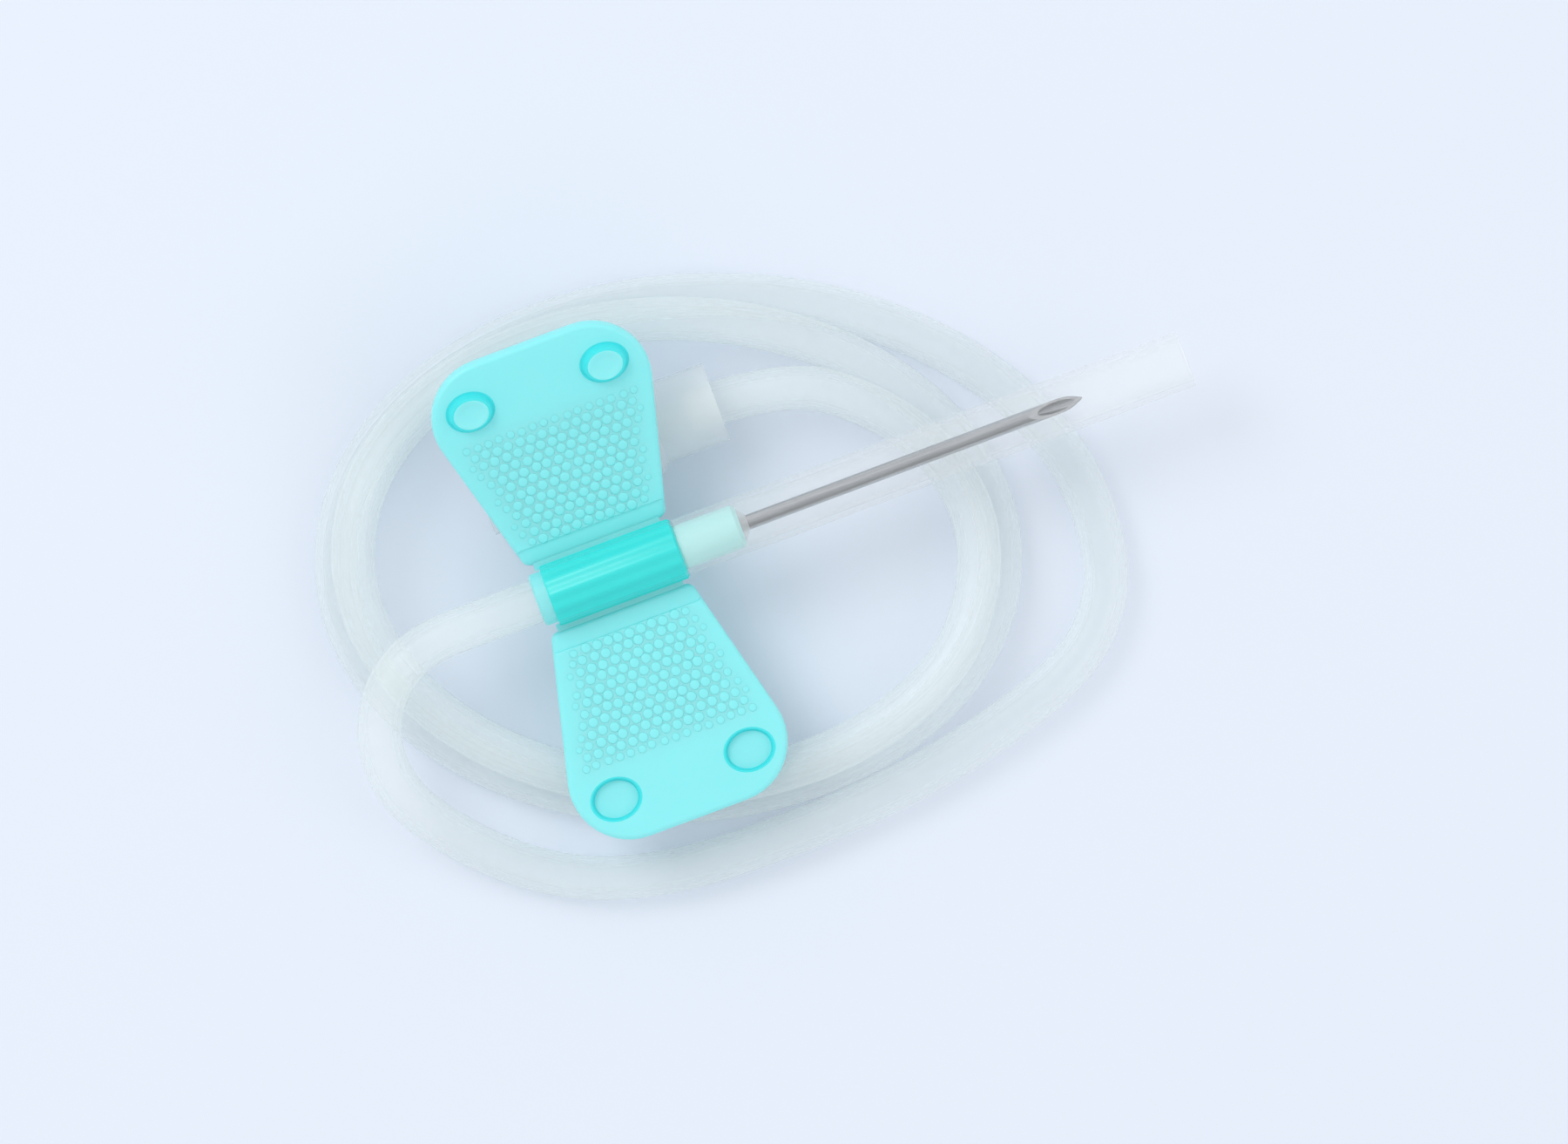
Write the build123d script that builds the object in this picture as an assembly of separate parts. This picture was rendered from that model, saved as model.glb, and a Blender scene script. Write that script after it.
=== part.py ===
from build123d import *

import os
from math import asin, atan2, cos, degrees, hypot, radians, tan

# Winged infusion set lying on a flat surface, in millimetres.
# +X runs along the needle towards its tip, +Y to the wing with the pips, +Z up from the surface.

# Tube and its coil
tube_od = 2.3
tube_bore = 1.4
coil_height = 4.35
coil_turn_deg = -20.5
outer_turn_half_long = 20.45
outer_turn_half_wide = 15.05
outer_turn_mid = (-7.6, -2.1)
inner_turn_half_long = 17.8
inner_turn_half_wide = 13.75
inner_turn_mid = (-9.55, 0.05)
coil_edge_round = 0.8

# Gaps between pieces
rest_gap = 0.25
hinge_gap = 0.06
bond_gap = 0.02
sheath_fit = 0.025
cap_fit = 0.03

# Grip: barrel with a flat foot, and two wings hinged at the foot's edges
sleeve_od = 3.1
sleeve_length = 7.9
sleeve_rim_length = 0.7
sleeve_rim_step = 0.15
foot_margin = 0.1
wing_thickness = 0.8
wing_length = 11.4
wing_root_half_width = 3.9
wing_end_half_width = 6.8
wing_corner_radius = 3.2
wing_edge_round = 0.2

# Pips on one wing and their sockets in the other
pip_long = 2.4
pip_wide = 2.0
pip_height = 0.5
pip_round = 0.3
pip_side = 3.7
pip_reach = 9.0
pip_clearance = 0.1
socket_depth = 0.4

# Needle and the hub that holds it
cannula_od = 0.8
cannula_bore = 0.55
cannula_free_length = 19.0
cannula_seat = 5.0
bevel_deg = 15.0
lancet_deg = 24.0
lancet_roll_deg = 40.0
nose_od = 2.35
nose_length = 3.4
nose_round = 0.2
bond_cup_od = 1.8
bond_cup_depth = 1.0
bond_meniscus = 0.4
hub_flow_bore = 0.6
spigot_length = 1.4
tube_seat = 1.6

# Clear sheath over the needle
sheath_wall = 0.3
sheath_length = 28.0
sheath_end_gap = 0.1

# Luer connector and its plug
connector_od = 5.8
connector_length = 12.0
connector_y = 6.5
connector_back = 8.4
collar_od = 4.3
collar_length = 3.4
collar_taper = 0.8
lug_span = 7.8
lug_length = 1.2
lug_height = 2.2
luer_mouth_od = 4.3
luer_depth = 7.5
luer_taper = 0.06
cap_head_od = 5.0
cap_head = 1.2
cap_plug = 3.0
cap_recess_od = 2.2
cap_recess = 2.4

# Places that follow from the sizes
tube_r = tube_od / 2
foot_half_width = sleeve_od / 2 + foot_margin
hinge_y = foot_half_width + hinge_gap + wing_thickness / 2
foot_z = coil_height + rest_gap
hinge_z = foot_z + wing_thickness / 2
axis_z = foot_z + sleeve_od / 2
flare = atan2(wing_end_half_width - wing_root_half_width, wing_length)
corner_start = wing_length - wing_corner_radius
wing_reach = wing_root_half_width + corner_start * tan(flare) + wing_corner_radius * (1 - 1 / cos(flare))

# The origin is midway between the wings' rear edges and the sheath's open end.
front_reach = sleeve_length / 2 + sheath_end_gap + sheath_length
sleeve_mid_x = (wing_reach - front_reach) / 2
sleeve_back_x = sleeve_mid_x - sleeve_length / 2
sleeve_front_x = sleeve_mid_x + sleeve_length / 2
tube_end_x = sleeve_back_x + tube_seat
nose_x = sleeve_front_x + nose_length
tip_x = nose_x + cannula_free_length
sheath_back_x = sleeve_front_x + sheath_end_gap
connector_back_x = sleeve_mid_x + connector_back
mouth_x = connector_back_x - connector_length
connector_z = connector_od / 2

# The left wing leans on the connector, which lies under it.
lean_reach = hypot(connector_y - hinge_y, hinge_z - connector_z)
lean_drop = atan2(hinge_z - connector_z, connector_y - hinge_y)
lean_offset = connector_od / 2 + wing_thickness / 2 + rest_gap
left_wing_deg = degrees(asin(lean_offset / lean_reach) - lean_drop)

# Route of the free tube at each end of the coil
lead_route = [
    (tube_end_x, 0.0, axis_z),
    (-19.5, 0.0, axis_z),
    (-23.2, -2.1, axis_z),
    (-25.3, -5.8, 5.5),
    (-25.2, -10.1, 4.1),
    (-22.8, -13.6, 2.5),
    (-18.9, -15.6, 1.35),
    (-14.2, -16.7, tube_r),
    (-9.6, -17.2, tube_r),
]
tail_route = [
    (6.1, -5.0, 3.2),
    (5.8, -0.6, 3.15),
    (3.2, 3.9, 3.0),
    (-1.3, connector_y, connector_z),
    (connector_back_x - tube_seat, connector_y, connector_z),
]


def turned(profile, y, z):
    """Solid turned about a line along X through (y, z), from points (x, radius)."""
    outline = make_face(Polyline(*profile, close=True))
    return Pos(0, y, z) * revolve(outline, Axis.X)


def rod(x_start, x_end, diameter, y, z):
    """Round rod along X."""
    radius = diameter / 2
    return turned([(x_start, 0), (x_end, 0), (x_end, radius), (x_start, radius)], y, z)


def corner_radii(route):
    """Radius at each inner point: as large as the two runs there allow."""
    points = [Vector(*point) for point in route]
    runs = [after - before for before, after in zip(points, points[1:])]
    return [
        0.45 * min(first.length, second.length) / tan(radians(first.get_angle(second)) / 2)
        for first, second in zip(runs, runs[1:])
    ]


def tube(name, route):
    """Hollow tube along straight runs joined by tangent arcs."""
    radii = corner_radii(route)
    path = FilletPolyline(*route, radius=radii)
    start = Plane(origin=path @ 0, z_dir=path % 0)
    wall = start * (Circle(tube_od / 2) - Circle(tube_bore / 2))
    solid = sweep(wall, path=path)
    ideal = wall.area * path.length
    print(name, "radii", [round(radius, 1) for radius in radii], "length", round(path.length, 1))
    print(name, "volume", round(solid.volume, 2), "section times length", round(ideal, 2))
    return solid


def oval(half_long, half_wide, mid):
    """Oval in the coil's own direction."""
    return Pos(*mid) * Rot(0, 0, coil_turn_deg) * Ellipse(half_long, half_wide)


def outer_oval(offset):
    return oval(outer_turn_half_long + offset, outer_turn_half_wide + offset, outer_turn_mid)


def inner_oval(offset):
    return oval(inner_turn_half_long + offset, inner_turn_half_wide + offset, inner_turn_mid)


def make_coil():
    """The coil's outer shape: two turns on the surface that part on one side, and a turn on top of them."""
    fan_gap = outer_oval(-tube_r) - inner_oval(tube_r)
    floor_turns = extrude(outer_oval(tube_r) - inner_oval(-tube_r) - fan_gap, tube_od)
    rim_edges = floor_turns.edges().group_by(SortBy.LENGTH)[-1]
    floor_turns = fillet(rim_edges, coil_edge_round)
    top_turn = extrude(inner_oval(0) - inner_oval(-tube_od), coil_height - tube_r)
    top_turn = Pos(0, 0, tube_r) * top_turn
    top_edges = top_turn.faces().sort_by(Axis.Z)[-1].edges()
    top_turn = fillet(top_edges, coil_edge_round)
    return floor_turns + top_turn


def make_sleeve():
    """Barrel with a stepped rear rim and a flat foot between the two hinges."""
    radius = sleeve_od / 2
    rim_x = sleeve_back_x + sleeve_rim_length
    rim_radius = radius - sleeve_rim_step
    barrel = turned(
        [
            (sleeve_back_x, 0),
            (sleeve_front_x, 0),
            (sleeve_front_x, radius),
            (rim_x, radius),
            (rim_x, rim_radius),
            (sleeve_back_x, rim_radius),
        ],
        0,
        axis_z,
    )
    foot_length = sleeve_length - sleeve_rim_length
    foot_mid_x = sleeve_front_x - foot_length / 2
    low = (Align.CENTER, Align.CENTER, Align.MIN)
    foot = Pos(foot_mid_x, 0, foot_z) * Box(foot_length, 2 * foot_half_width, wing_thickness, align=low)
    bore = rod(sleeve_back_x, sleeve_front_x, tube_od + 2 * bond_gap, 0, axis_z)
    return barrel + foot - bore


def flat_wing():
    """Wing lying flat with its hinge line on X and reaching out along +Y."""
    outline = make_face(
        Polyline(
            (-wing_root_half_width, 0),
            (wing_root_half_width, 0),
            (wing_end_half_width, wing_length),
            (-wing_end_half_width, wing_length),
            close=True,
        )
    )
    outer_corners = outline.vertices().group_by(Axis.Y)[-1]
    outline = fillet(outer_corners, wing_corner_radius)
    plate = Pos(0, 0, -wing_thickness / 2) * extrude(outline, wing_thickness)
    faces = plate.faces().sort_by(Axis.Z)
    rim = [edge for face in (faces[0], faces[-1]) for edge in face.edges() if edge.center().Y > wing_edge_round]
    plate = fillet(rim, wing_edge_round)
    knuckle = rod(-wing_root_half_width, wing_root_half_width, wing_thickness, 0, 0)
    return plate + knuckle


def pip_places():
    """Where the pips and their sockets stand on a flat wing's upper face."""
    return [Pos(side * pip_side, pip_reach, wing_thickness / 2) for side in (-1, 1)]


def make_left_wing():
    """Wing with the raised pips, leaning on the connector."""
    wing = flat_wing()
    pip = extrude(Ellipse(pip_long / 2, pip_wide / 2), pip_height)
    pip = fillet(pip.faces().sort_by(Axis.Z)[-1].edges(), pip_round)
    for place in pip_places():
        wing = wing + place * pip
    return Pos(sleeve_mid_x, hinge_y, hinge_z) * Rot(left_wing_deg, 0, 0) * wing


def make_right_wing():
    """Wing with the sockets, lying flat on the coil."""
    wing = flat_wing()
    recess = Ellipse(pip_long / 2 + pip_clearance, pip_wide / 2 + pip_clearance)
    socket = extrude(recess, -socket_depth)
    for place in pip_places():
        wing = wing - place * socket
    return Pos(sleeve_mid_x, -hinge_y, hinge_z) * Rot(0, 0, 180) * wing


def make_hub():
    """Rigid core: spigot in the tube, body in the sleeve and nose in the sheath."""
    spigot_x = tube_end_x - spigot_length
    spigot_r = tube_bore / 2 - bond_gap
    body_r = tube_od / 2
    nose_r = nose_od / 2
    core = turned(
        [
            (spigot_x, 0),
            (nose_x, 0),
            (nose_x, nose_r - nose_round),
            (nose_x - nose_round, nose_r),
            (sleeve_front_x, nose_r),
            (sleeve_front_x, body_r),
            (tube_end_x, body_r),
            (tube_end_x, spigot_r),
            (spigot_x, spigot_r),
        ],
        0,
        axis_z,
    )
    flow = rod(spigot_x, nose_x, hub_flow_bore, 0, axis_z)
    seat = rod(nose_x - cannula_seat, nose_x, cannula_od + 2 * bond_gap, 0, axis_z)
    cup = turned(
        [(nose_x - bond_cup_depth, 0), (nose_x, 0), (nose_x, bond_cup_od / 2), (nose_x - bond_cup_depth, cannula_od / 2)],
        0,
        axis_z,
    )
    return core - flow - seat - cup


def make_bond():
    """Adhesive that fills the nose's cup and rises a little along the needle."""
    return turned(
        [
            (nose_x - bond_cup_depth, cannula_od / 2),
            (nose_x + bond_meniscus, cannula_od / 2),
            (nose_x, bond_cup_od / 2),
        ],
        0,
        axis_z,
    )


def make_cannula():
    """Hollow needle with its bevel facing up and two lancet cuts at the point."""
    radius = cannula_od / 2
    start_x = nose_x - cannula_seat
    needle = rod(start_x, tip_x, cannula_od, 0, axis_z)
    needle = needle - rod(start_x, tip_x, cannula_bore, 0, axis_z)
    cutter = Box(cannula_free_length, 4 * cannula_od, 4 * cannula_od, align=(Align.CENTER, Align.CENTER, Align.MIN))
    needle = needle - Pos(tip_x, 0, axis_z - radius) * Rot(0, bevel_deg, 0) * cutter
    lancet_shift = radius * (1 - cos(radians(lancet_roll_deg))) / tan(radians(lancet_deg))
    for roll in (-lancet_roll_deg, lancet_roll_deg):
        side = Pos(tip_x + lancet_shift, 0, axis_z) * Rot(roll, 0, 0) * Pos(0, 0, -radius)
        needle = needle - side * Rot(0, lancet_deg, 0) * cutter
    return needle


def make_sheath():
    """Open clear tube pushed over the hub's nose."""
    inner = nose_od + 2 * sheath_fit
    end_x = sheath_back_x + sheath_length
    shell = rod(sheath_back_x, end_x, inner + 2 * sheath_wall, 0, axis_z)
    return shell - rod(sheath_back_x, end_x, inner, 0, axis_z)


def make_connector():
    """Female luer connector: tube collar, body with a tapered socket, and two lugs at the mouth."""
    body_r = connector_od / 2
    collar_r = collar_od / 2
    collar_x = connector_back_x - collar_length
    body = turned(
        [
            (mouth_x, 0),
            (connector_back_x, 0),
            (connector_back_x, collar_r),
            (collar_x, collar_r),
            (collar_x - collar_taper, body_r),
            (mouth_x, body_r),
        ],
        connector_y,
        connector_z,
    )
    ring = rod(mouth_x, mouth_x + lug_length, lug_span, connector_y, connector_z)
    band = Pos(mouth_x + lug_length / 2, connector_y, connector_z) * Box(lug_length, lug_span, lug_height)
    socket_end_r = (luer_mouth_od - luer_taper * luer_depth) / 2
    socket_x = mouth_x + luer_depth
    socket = turned(
        [(mouth_x, 0), (socket_x, 0), (socket_x, socket_end_r), (mouth_x, luer_mouth_od / 2)],
        connector_y,
        connector_z,
    )
    flow = rod(mouth_x, connector_back_x, tube_bore, connector_y, connector_z)
    tube_socket_x = connector_back_x - tube_seat
    tube_socket = rod(tube_socket_x, connector_back_x, tube_od + 2 * bond_gap, connector_y, connector_z)
    return body + (ring & band) - socket - flow - tube_socket


def make_cap():
    """Push-in plug with a round head, hollow from its plug end."""
    plug_x = mouth_x + cap_plug
    mouth_r = luer_mouth_od / 2 - cap_fit
    plug_r = mouth_r - luer_taper * cap_plug / 2
    head_x = mouth_x - cap_head
    head_r = cap_head_od / 2
    plug = turned(
        [(head_x, 0), (plug_x, 0), (plug_x, plug_r), (mouth_x, mouth_r), (mouth_x, head_r), (head_x, head_r)],
        connector_y,
        connector_z,
    )
    return plug - rod(plug_x - cap_recess, plug_x, cap_recess_od, connector_y, connector_z)


pieces = {
    "wing_sleeve": make_sleeve(),
    "wing_left": make_left_wing(),
    "wing_right": make_right_wing(),
    "needle_hub": make_hub(),
    "cannula": make_cannula(),
    "cannula_bond": make_bond(),
    "needle_sheath": make_sheath(),
    "tubing_lead": tube("tubing_lead", lead_route),
    "tubing_coil": make_coil(),
    "tubing_tail": tube("tubing_tail", tail_route),
    "luer_connector": make_connector(),
    "luer_cap": make_cap(),
}

os.makedirs("parts", exist_ok=True)
for node, solid in pieces.items():
    export_step(solid, f"parts/{node}.step")
print("needle axis height", round(axis_z, 3), "left wing at", round(left_wing_deg, 2), "degrees")
print("sleeve from", round(sleeve_back_x, 3), "to", round(sleeve_front_x, 3), "tip at", round(tip_x, 3))
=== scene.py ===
import math

import bmesh
import bpy
from bpy.props import FloatProperty, FloatVectorProperty, IntProperty, PointerProperty
from mathutils import Matrix, Vector


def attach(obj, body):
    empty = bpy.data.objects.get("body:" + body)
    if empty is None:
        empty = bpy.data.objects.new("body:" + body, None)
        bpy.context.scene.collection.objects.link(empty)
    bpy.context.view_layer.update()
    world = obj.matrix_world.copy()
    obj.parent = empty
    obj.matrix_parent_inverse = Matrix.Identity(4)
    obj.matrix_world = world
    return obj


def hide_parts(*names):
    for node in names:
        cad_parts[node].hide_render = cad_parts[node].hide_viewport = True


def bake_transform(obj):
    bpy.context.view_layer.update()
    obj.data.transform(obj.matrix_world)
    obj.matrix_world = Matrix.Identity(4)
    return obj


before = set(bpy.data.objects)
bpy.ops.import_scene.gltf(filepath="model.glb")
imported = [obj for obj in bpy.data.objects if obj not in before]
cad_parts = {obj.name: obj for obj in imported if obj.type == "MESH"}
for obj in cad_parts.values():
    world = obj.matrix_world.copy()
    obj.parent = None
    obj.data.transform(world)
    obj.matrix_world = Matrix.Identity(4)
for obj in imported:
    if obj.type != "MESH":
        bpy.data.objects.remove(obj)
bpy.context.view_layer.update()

bl_info = {
    "name": "Winged infusion set",
    "version": (1, 0, 0),
    "blender": (4, 5, 0),
    "location": "View3D > Sidebar > Infusion set",
    "description": "Dresses a winged infusion set: tube, grip, needle, sheath and connector",
    "category": "Object",
}

MM = 0.001

# Places that the part's solids share, in millimetres
SLEEVE_MID_X = -13.083
SLEEVE_BACK_X = -17.033
SLEEVE_FRONT_X = -9.133
AXIS_Z = 6.15
HINGE_Y = 2.11
HINGE_Z = 5.0
LEFT_WING_TILT = math.radians(21.28)

# Hinge skins, in millimetres: reach to each side, the part of it that bends, half length and half thickness
HINGE_REACH = 0.62
HINGE_HALF_LENGTH = 3.5
HINGE_HALF_THICKNESS = 0.2

# Wing details, in millimetres: root behind the hinge line, its corners, slope at the strip, flat rim
WING_OVERLAP = 0.25
WING_ROOT_CORNER = 0.5
STRIP_SLOPE = 0.07
EDGE_MARGIN = 0.06

# Steps up a pip and down a socket: share of the oval, height in millimetres
PIP_STEPS = [
    (1.1, 0.0),
    (1.02, 0.0),
    (0.98, 0.06),
    (0.95, 0.32),
    (0.89, 0.45),
    (0.78, 0.5),
    (0.64, 0.48),
    (0.5, 0.42),
    (0.3, 0.4),
]
SOCKET_STEPS = [
    (1.16, 0.0),
    (1.08, 0.0),
    (1.04, -0.05),
    (1.02, -0.34),
    (0.96, -0.4),
    (0.5, -0.4),
]
# Share of a pip's or socket's oval that its deeper coloured outline leaves plain
PIP_OUTLINE = 0.75

# Barrel details: flutes in a full turn, points round its curved part, and easings in millimetres
FLUTES = 12
BARREL_STEPS = 96
FOOT_EASE = 0.1
BARREL_EASE = 0.12
STEP_EASE = 0.05

# Edges that turn by more than this stay sharp
SMOOTH_ANGLE = math.radians(32)

# Camera straight above the set, in metres: its height, the level and width of the view, its middle and turn
CAMERA_HEIGHT = 0.6
VIEW_LEVEL = 0.004
VIEW_WIDTH = 0.0818
VIEW_MIDDLE = (-0.00447, -0.00308)
VIEW_TURN = -math.atan2(0.35, 0.937)

# Sockets of the pebbles' node group, in metres apart from the flare
PEBBLE_SOCKETS = {
    "Spacing": 0.0006,
    "Radius": 0.00026,
    "Height": 0.00006,
    "Root Half Width": 0.0036,
    "Flare": 0.25,
    "Start": 0.0011,
    "Depth": 0.0064,
    "Fade": 0.0014,
    "Level": 0.0004,
}
PEBBLE_COLUMNS = 31
PEBBLE_JITTER = 0.00005

# Free tube at each end of the coil, in millimetres
LEAD_ROUTE = [
    (-15.433, 0.0, 6.15),
    (-19.5, 0.0, 6.15),
    (-23.5, 0.0, 6.15),
    (-26.0, -1.4, 6.05),
    (-27.4, -3.9, 5.3),
    (-27.4, -6.7, 4.0),
    (-26.0, -9.3, 2.5),
    (-23.5, -12.1, 1.3),
    (-20.1, -14.5, 1.15),
    (-15.6, -15.8, 1.15),
    (-10.8, -16.1, 1.15),
    (-5.8, -16.0, 1.15),
    (-0.6, -15.5, 1.15),
    (4.1, -14.4, 1.15),
    (7.4, -13.3, 1.15),
    (9.9, -11.6, 1.15),
]
TAIL_ROUTE = [
    (6.0, -4.9, 3.4),
    (5.6, -0.46, 3.4),
    (3.0, 3.55, 3.4),
    (-1.1, 6.45, 3.0),
    (-6.283, 6.5, 2.9),
]

# The coil's turns shrink inwards: turn, half length, half width, middle x, middle y
COIL_KEYS = [
    (0.0, 20.4, 14.9, -7.43, -1.63),
    (0.55, 18.7, 13.6, -9.0, -0.75),
    (0.8, 17.7, 12.8, -9.6, -0.33),
    (1.0, 17.5, 12.75, -9.7, -0.25),
    (1.5, 16.9, 12.4, -9.66, -0.2),
    (2.0, 16.6, 12.1, -9.63, -0.12),
]

# Angles in degrees: the coil's control points, then where its last turn climbs and over how far
COIL_ANGLES = range(360, 1065, 20)
CLIMB_START = 743.0
CLIMB_ANGLE = 75.0


def length_property(name, description, default):
    return FloatProperty(name=name, description=description, default=default * MM, unit="LENGTH", precision=5)


def colour_property(name, description, default):
    return FloatVectorProperty(
        name=name, description=description, default=default, size=3, subtype="COLOR", min=0, max=1)


class InfusionTubeSettings(bpy.types.PropertyGroup):
    """Sizes of the flexible tube and its coil"""

    outer_diameter: length_property("Outer diameter", "Outside of the tube", 2.3)
    bore: length_property("Bore", "Inside of the tube", 1.4)
    floor_level: length_property("Floor level", "Height of the turns that lie on the floor", 1.15)
    upper_level: length_property("Upper level", "Height of the turns that lie on other turns", 3.38)
    coil_tilt: FloatProperty(
        name="Coil direction", description="Turn of the oval coil about the vertical",
        default=math.radians(-20.5), subtype="ANGLE")
    sides: IntProperty(name="Sides", description="Faces round the tube", default=32, min=8)


class InfusionGripSettings(bpy.types.PropertyGroup):
    """Sizes of the winged grip"""

    wing_length: length_property("Wing length", "Hinge to wing end", 11.4)
    wing_root: length_property("Root half width", "Half width at the hinge", 3.9)
    wing_end: length_property("End half width", "Half width where the sides would meet the end", 6.8)
    wing_corner: length_property("Corner radius", "Rounding of the wing's outer corners", 3.2)
    wing_thickness: length_property("Wing thickness", "Thickness of the wing", 0.8)
    wing_edge: length_property("Edge radius", "Rounding along the wing's edge", 0.24)
    pip_long: length_property("Pip length", "Long axis of the pips", 2.4)
    pip_wide: length_property("Pip width", "Short axis of the pips", 2.0)
    pip_side: length_property("Pip offset", "Pip middle from the wing's middle line", 3.7)
    pip_reach: length_property("Pip reach", "Pip middle from the hinge", 9.0)
    pebble_spacing: length_property("Pebble spacing", "Distance between pebbles", 0.62)
    pebble_radius: length_property("Pebble radius", "Radius of one pebble", 0.28)
    pebble_height: length_property("Pebble height", "Height of one pebble", 0.032)
    strip_width: length_property("Strip width", "Thinner strip along the wing's hinge", 0.75)
    strip_drop: length_property("Strip drop", "How much thinner the strip is", 0.1)
    sleeve_radius: length_property("Sleeve radius", "Outside of the barrel", 1.55)
    sleeve_bore: length_property("Sleeve bore", "Radius of the hole through the barrel", 1.17)
    flute_depth: length_property("Flute depth", "Depth of the long shallow flutes round the barrel", 0.07)
    rim_radius: length_property("Rim radius", "Outside of the barrel's rear rim", 1.4)
    rim_length: length_property("Rim length", "Length of the barrel's rear rim", 0.7)
    foot_half: length_property("Foot half width", "Half width of the barrel's flat foot", 1.65)
    foot_height: length_property("Foot height", "Height of the barrel's flat foot", 0.8)


class InfusionFinishSettings(bpy.types.PropertyGroup):
    """Colours of the set"""

    wing: colour_property("Wings", "Soft translucent turquoise", (0.29, 0.9, 0.92))
    pip: colour_property("Pips", "The same plastic where it stands up", (0.06, 0.8, 0.83))
    pebble: colour_property("Pebbles", "The same plastic in the pebbled middles", (0.26, 0.89, 0.91))
    barrel: colour_property("Barrel", "The same plastic where it is thick", (0.05, 0.84, 0.8))
    hub: colour_property("Hub", "Rigid light turquoise", (0.42, 0.9, 0.87))
    steel: colour_property("Needle", "Ground stainless steel", (0.5, 0.5, 0.51))
    clear: colour_property("Clear plastic", "Sheath, connector and plug", (0.93, 0.97, 0.98))
    tube: colour_property("Tube", "Milky clear tube", (0.93, 1.0, 0.99))
    floor: colour_property("Floor", "Pale floor", (0.8, 0.85, 0.945))


def grip():
    return bpy.context.scene.infusion_grip


def finishes():
    return bpy.context.scene.infusion_finish


def add_node(tree, kind, **values):
    """Node of a kind, with its properties and its inputs set by name."""
    node = tree.nodes.new(kind)
    for key, value in values.items():
        if key in node.inputs:
            node.inputs[key].default_value = value
        else:
            setattr(node, key, value)
    return node


def spread(tree, factor, low, high):
    """Factor from 0 to 1 mapped to low to high."""
    node = add_node(tree, "ShaderNodeMapRange")
    node.inputs["To Min"].default_value = low
    node.inputs["To Max"].default_value = high
    tree.links.new(factor, node.inputs["Value"])
    return node.outputs["Result"]


def two_tone(tree, factor, colour, shade):
    """Colour that wanders between a darker shade of itself and itself."""
    tint = add_node(tree, "ShaderNodeMix", data_type="RGBA")
    dark, plain = [socket for socket in tint.inputs if socket.type == "RGBA"]
    dark.default_value = (*(part * shade for part in colour), 1)
    plain.default_value = (*colour, 1)
    tree.links.new(factor, tint.inputs[0])
    return next(socket for socket in tint.outputs if socket.type == "RGBA")


def plastic(name, colour, roughness, grain=900.0, relief=0.05, mottle=220.0, shade=0.9, detail=3.0,
            **shader_values):
    """Moulded plastic: faint mottle in its colour, uneven gloss and, with some relief, a fine grain."""
    material = bpy.data.materials.new(name)
    material.use_nodes = True
    tree = material.node_tree
    shader = tree.nodes["Principled BSDF"]
    for key, value in shader_values.items():
        shader.inputs[key.replace("_", " ")].default_value = value
    place = add_node(tree, "ShaderNodeTexCoord").outputs["Object"]
    patches = add_node(tree, "ShaderNodeTexNoise", Scale=mottle, Detail=detail)
    specks = add_node(tree, "ShaderNodeTexNoise", Scale=grain, Detail=detail)
    tree.links.new(place, patches.inputs["Vector"])
    tree.links.new(place, specks.inputs["Vector"])
    tree.links.new(two_tone(tree, patches.outputs["Fac"], colour, shade), shader.inputs["Base Color"])
    uneven = spread(tree, specks.outputs["Fac"], roughness * 0.75, roughness * 1.3)
    tree.links.new(uneven, shader.inputs["Roughness"])
    if relief:
        bump = add_node(tree, "ShaderNodeBump", Strength=relief, Distance=0.0001)
        tree.links.new(specks.outputs["Fac"], bump.inputs["Height"])
        tree.links.new(bump.outputs["Normal"], shader.inputs["Normal"])
    return material


def clear_plastic(name, tint, roughness, veil, edge):
    """Clear plastic: a faint veil face on, denser where the wall is seen on edge, and slightly uneven."""
    material = plastic(name, tint, roughness, mottle=300.0, relief=0.0, shade=0.95, detail=0.0, IOR=1.46)
    tree = material.node_tree
    shader = tree.nodes["Principled BSDF"]
    slant = add_node(tree, "ShaderNodeLayerWeight", Blend=0.5)
    bend = add_node(tree, "ShaderNodeMath", operation="POWER")
    bend.inputs[1].default_value = 2.2
    tree.links.new(slant.outputs["Facing"], bend.inputs[0])
    tree.links.new(spread(tree, bend.outputs[0], veil, edge), shader.inputs["Alpha"])
    return material


def drawn_steel(name, colour):
    """Steel with fine lines along its length."""
    material = bpy.data.materials.new(name)
    material.use_nodes = True
    tree = material.node_tree
    shader = tree.nodes["Principled BSDF"]
    shader.inputs["Metallic"].default_value = 1.0
    place = add_node(tree, "ShaderNodeTexCoord").outputs["Object"]
    stretch = add_node(tree, "ShaderNodeMapping", Scale=(0.04, 1, 1))
    lines = add_node(tree, "ShaderNodeTexNoise", Scale=9000.0, Detail=3.0)
    tree.links.new(place, stretch.inputs["Vector"])
    tree.links.new(stretch.outputs["Vector"], lines.inputs["Vector"])
    tree.links.new(two_tone(tree, lines.outputs["Fac"], colour, 0.6), shader.inputs["Base Color"])
    tree.links.new(spread(tree, lines.outputs["Fac"], 0.14, 0.26), shader.inputs["Roughness"])
    bump = add_node(tree, "ShaderNodeBump", Strength=0.08, Distance=0.00002)
    tree.links.new(lines.outputs["Fac"], bump.inputs["Height"])
    tree.links.new(bump.outputs["Normal"], shader.inputs["Normal"])
    return material


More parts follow.
